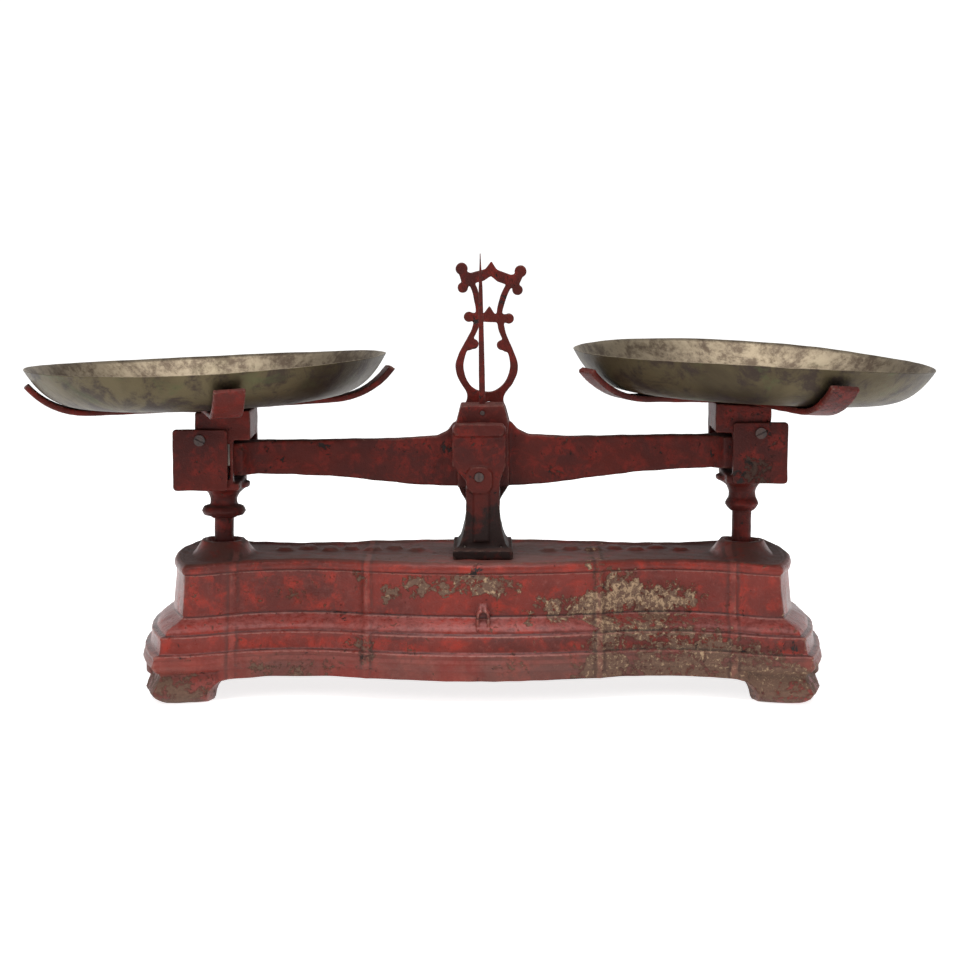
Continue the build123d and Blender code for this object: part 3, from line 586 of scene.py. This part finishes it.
# ---- pans --------------------------------------------------------------------
pans = {
    "left": {"saddle": 1.5, "seed": 61}, "right": {"saddle": -1.9, "seed": 62},
    "shape": {"radius": 118.0, "floor": 60.0, "depth": 25.5, "curve": 4.0, "sheet": 1.3, "centre": 4,
              "warpPower": 2.5, "dent": 0.0011, "dentSize": 0.05, "ripple": 0.3, "rippleSize": 0.016},
}
joints = {joint["name"]: joint for joint in frame["record"]["behaviour"]["joints"]}


def panPlace(side):
    """The matrix that stands a pan, drawn on the z axis, where its joint lies."""
    joint = joints[side + "_pan_lift"]
    turn = Vector((0, 0, 1)).rotation_difference(Vector(joint["axis"])).to_matrix().to_4x4()
    return Matrix.Translation(joint["pos_m"]) @ turn


def saddle(points, side):
    """Sheet-metal warp: height + amount * cos(2 * angle) * (radius / rim) ^ warpPower, in the pan's own axes."""
    place = np.array(panPlace(side))
    local = (points - place[:3, 3]) @ place[:3, :3]
    x, y = local[:, 0], local[:, 1]
    radius = np.hypot(x, y) / (pans["shape"]["radius"] * mm)
    local[:, 2] += pans[side]["saddle"] * mm * np.cos(2 * np.arctan2(y, x)) * radius ** pans["shape"]["warpPower"]
    return local @ place[:3, :3].T + place[:3, 3]


def makePan(side):
    """A dish from rings: floor, curved wall, thin rim, then back down the inside."""
    shape = pans["shape"]
    wall = shape["radius"] - shape["floor"]
    flatRun = np.linspace(shape["centre"], shape["floor"], 16)[:-1]
    run = np.concatenate([flatRun, shape["floor"] + wall * np.linspace(0, 1, 40)])
    rise = shape["depth"] * (np.clip(run - shape["floor"], 0, None) / wall) ** shape["curve"]
    slope = np.gradient(rise, run)
    length = np.hypot(1, slope)
    innerRun, innerRise = run - shape["sheet"] * slope / length, rise + shape["sheet"] / length
    lip = shape["sheet"] * 0.5
    lipRun = shape["radius"] + np.array([0.25, 0.2, -0.3]) * lip
    lipRise = shape["depth"] + np.array([0.3, 0.8, 1.0]) * lip
    radius = np.concatenate([run, lipRun, innerRun[::-1][1:]])
    height = np.concatenate([rise, lipRise, innerRise[::-1][1:]])
    angle = np.linspace(0, 2 * np.pi, 361)[:-1]
    radius, height = radius[:, None], height[:, None]
    points = np.stack([radius * np.cos(angle), radius * np.sin(angle), height + 0 * angle], axis=-1)
    rows, columns = points.shape[:2]
    points = np.concatenate([points.reshape(-1, 3), [(0, 0, 0), (0, 0, shape["sheet"])]]) * mm
    index = np.arange(rows * columns).reshape(rows, columns)
    ahead = np.roll(index, -1, axis=1)
    faces = np.stack([index[:-1], ahead[:-1], ahead[1:], index[1:]], axis=-1).reshape(-1, 4).tolist()
    faces += [[a, rows * columns, b] for a, b in zip(ahead[0].tolist(), index[0].tolist())]
    faces += [[a, rows * columns + 1, b] for a, b in zip(index[-1].tolist(), ahead[-1].tolist())]
    flat = points.copy()
    flat[:, 2] = 0
    dent = lumps(flat, shape["dentSize"], pans[side]["seed"]) * shape["dent"]
    ripple = lumps(flat, shape["rippleSize"], pans[side]["seed"] + 5) * shape["dent"] * shape["ripple"]
    points[:, 2] += (dent + ripple) * np.clip(np.hypot(*flat[:, :2].T) / 0.09 - 0.6, 0, 1)
    place = np.array(panPlace(side))
    points = saddle(points @ place[:3, :3].T + place[:3, 3], side)
    mesh = bpy.data.meshes.new("pan")
    mesh.from_pydata(points.tolist(), [], faces)
    mesh.update()
    piece(side + "_dish", mesh, side + "_pan", "brass", side + "_pan")


makePan("left")
makePan("right")
print("pans ready")


# ---- castings ----------------------------------------------------------------
castings = {
    "column": {"cell": 0.0009, "soften": 3, "lump": 0.006, "rough": 0.0006, "seed": 3},
    "beam": {"cell": 0.00095, "soften": 3, "lump": 0.009, "rough": 0.0006, "seed": 4},
    "lyre": {"cell": 0.0006, "soften": 3, "lump": 0.006, "rough": 0.0004, "seed": 5},
    "needle": {"cell": 0.0004, "soften": 1, "lump": 0.008, "rough": 0.0001, "seed": 6},
}
for number, side in enumerate(("left", "right")):
    for ending, cell, soften, lump, rough, seed in (
            ("_stirrup", 0.0009, 3, 0.006, 0.0005, 10), ("_shield", 0.0006, 3, 0.009, 0.0004, 20),
            ("_pan_carrier", 0.001, 2, 0.012, 0.0005, 30), ("_stem", 0.0007, 1, 0.006, 0.0003, 40)):
        look = {"cell": cell, "soften": soften, "lump": lump, "rough": rough, "seed": seed + number}
        castings[side + ending] = look
for node, look in castings.items():
    ob = castCopy(node, look)
    if node.endswith("carrier"):
        ob.data.vertices.foreach_set("co", saddle(readPoints(ob.data), node.split("_")[0]).ravel())
        ob.data.update()
print("castings ready")

for node, ob in frame["nodes"].items():
    ob.data.materials.clear()
    ob.data.materials.append(finishes[slotOf[node]])
print("frame painted")


# ---- floor -------------------------------------------------------------------
floor = {"half": 6, "back": 8, "flat": 3, "curve": 0.12, "drop": 0.0002, "glow": 0.8}


def makeFloor():
    """A sheet that is flat under the object and curves up far behind it."""
    across = np.linspace(-floor["half"], floor["half"], 13)
    along = np.linspace(-floor["half"], floor["back"], 57)
    x, y = np.meshgrid(across, along, indexing="ij")
    z = np.where(y > floor["flat"], (y - floor["flat"]) ** 2 * floor["curve"], 0.0) - floor["drop"]
    points = np.stack([x, y, z], axis=-1).reshape(-1, 3)
    rows, columns = x.shape
    index = np.arange(rows * columns).reshape(rows, columns)
    faces = np.stack([index[:-1, :-1], index[1:, :-1], index[1:, 1:], index[:-1, 1:]], axis=-1).reshape(-1, 4)
    mesh = meshFrom("floor", points, faces)
    ob = bpy.data.objects.new("floor", mesh)
    bpy.context.scene.collection.objects.link(ob)
    p = Paint("palePaper")
    grain = p.noise(40, 3, 0.5)
    tone = p.blend(grain * 0.05, (0.66, 0.66, 0.66), (0.62, 0.62, 0.62))
    glow = {"Emission Color": (1, 1, 1, 1), "Emission Strength": floor["glow"]}
    mesh.materials.append(p.finish({"Base Color": tone, "Roughness": 0.9}, grain, 0.0001, **glow))


makeFloor()
